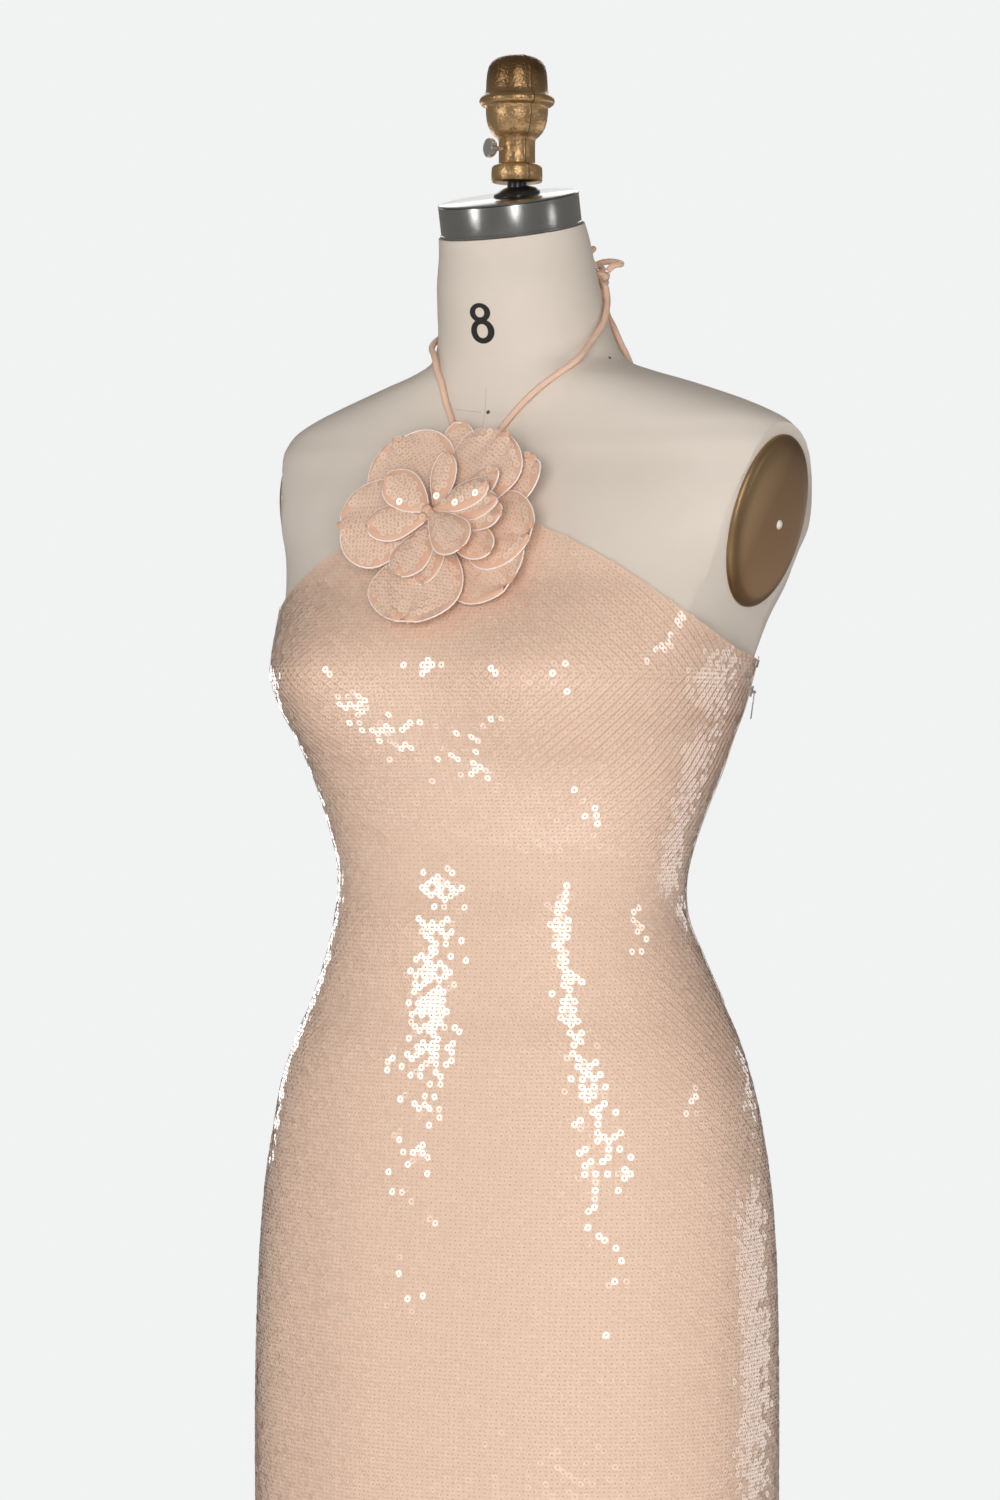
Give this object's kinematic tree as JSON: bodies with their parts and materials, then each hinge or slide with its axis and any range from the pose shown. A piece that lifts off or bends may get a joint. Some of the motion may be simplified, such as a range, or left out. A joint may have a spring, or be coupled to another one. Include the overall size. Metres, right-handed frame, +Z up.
{
  "type": "halter evening gown on a limbless dress form",
  "caption": "Sleeveless column gown of sequined cloth with a halter tie, a cloth flower at its point and a side zip, on a limbless dress form with a stand.",
  "frame": {"origin": "centre of the stand base's underside, on the pole's axis", "axes": "+Z up the pole, -Y the way the form faces, +X the wearer's left, where the zip is"},
  "size_m": [0.4, 0.4, 1.615],
  "materials": {
    "sequin_cloth": "flat round sequins with a soft gloss, sewn all over",
    "satin_rouleau": "satin cord",
    "zip_tape": "woven tape and coil",
    "zip_metal": "nickel plated",
    "form_canvas": "close natural canvas over a padded body",
    "brushed_steel": "brushed",
    "black_steel": "satin black",
    "cast_gold": "antique gold over a sand casting",
    "plate_gold": "matt gold",
    "cream_enamel": "cream enamel",
    "stand_iron": "black paint"
  },
  "bodies": {
    "gown_on_form": {"gown_front": "sequin_cloth", "gown_back": "sequin_cloth", "flower_backing": "sequin_cloth", "petal_outer_1": "sequin_cloth", "petal_outer_2": "sequin_cloth", "petal_outer_3": "sequin_cloth", "petal_outer_4": "sequin_cloth", "petal_outer_5": "sequin_cloth", "petal_outer_6": "sequin_cloth", "petal_outer_7": "sequin_cloth", "petal_outer_8": "sequin_cloth", "petal_middle_1": "sequin_cloth", "petal_middle_2": "sequin_cloth", "petal_middle_3": "sequin_cloth", "petal_middle_4": "sequin_cloth", "petal_middle_5": "sequin_cloth", "petal_middle_6": "sequin_cloth", "petal_inner_1": "sequin_cloth", "petal_inner_2": "sequin_cloth", "petal_inner_3": "sequin_cloth", "petal_inner_4": "sequin_cloth", "petal_inner_5": "sequin_cloth", "tie_left": "satin_rouleau", "tie_right": "satin_rouleau", "bow_knot": "satin_rouleau", "bow_loop_side": "satin_rouleau", "bow_loop_up": "satin_rouleau", "bow_tail_outer": "satin_rouleau", "bow_tail_inner": "satin_rouleau", "zip_tape": "zip_tape", "zip_slider": "zip_metal", "form_torso": "form_canvas", "neck_cap": "brushed_steel", "neck_post": "black_steel", "finial": "cast_gold", "thumb_screw": "brushed_steel", "arm_plate_left": "plate_gold", "arm_plate_right": "plate_gold", "arm_screw_left": "cream_enamel", "arm_screw_right": "cream_enamel", "stand_pole": "brushed_steel", "stand_base": "stand_iron"},
    "pull": {"zip_pull_tab": "zip_metal"}
  },
  "joints": [
    {"name": "pull_tab_hinge", "type": "hinge", "parent": "gown_on_form", "child": "pull", "pos_m": [0.15203, 0.04785, 1.19023], "axis": [0.3529, -0.9357, 0], "range_deg": [-5, 140]}
  ]
}
